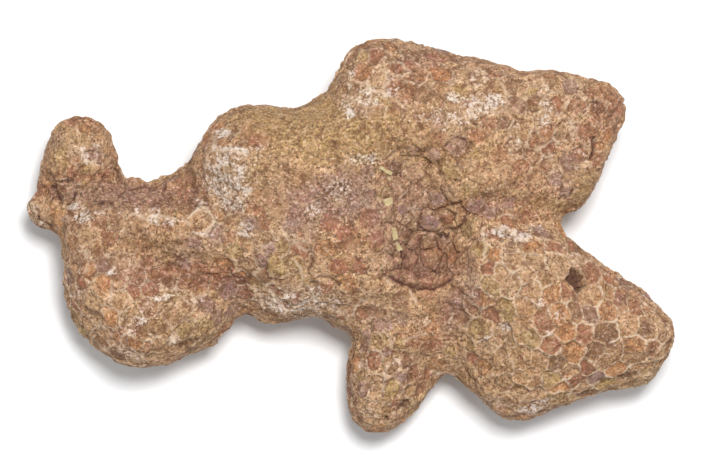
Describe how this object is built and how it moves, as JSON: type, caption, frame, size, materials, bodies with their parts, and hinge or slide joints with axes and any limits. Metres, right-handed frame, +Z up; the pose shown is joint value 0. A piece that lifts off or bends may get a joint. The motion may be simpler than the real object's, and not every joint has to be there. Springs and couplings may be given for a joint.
{
  "type": "fossil tabulate coral",
  "caption": "Branching fossil tabulate coral lying on its side, with stout lobed branches, a broken hollow in the middle and a skin of shallow many-sided cups.",
  "frame": {"origin": "on the surface that the fossil lies on, under the middle of its bounding box", "axes": "+X along the colony towards the two right branches, +Y towards the knob side, +Z up, the thinnest way through the fossil"},
  "size_m": [0.0978, 0.0592, 0.025],
  "materials": {
    "trunk_stone": "rough, sandy, with chalky and rust patches",
    "upper_right_stone": "rough, sandy, with chalky and rust patches",
    "lower_right_stone": "rough, ochre cups with pale walls",
    "lower_stub_stone": "rough, ochre cups with pale walls",
    "left_stone": "rough, ochre cups with pale walls",
    "left_knob_stone": "rough, rusty, layered"
  },
  "bodies": {
    "root": {"trunk": "trunk_stone", "upper_right_branch": "upper_right_stone", "lower_right_branch": "lower_right_stone", "lower_stub": "lower_stub_stone", "left_branch": "left_stone", "left_knob": "left_knob_stone"}
  },
  "joints": []
}
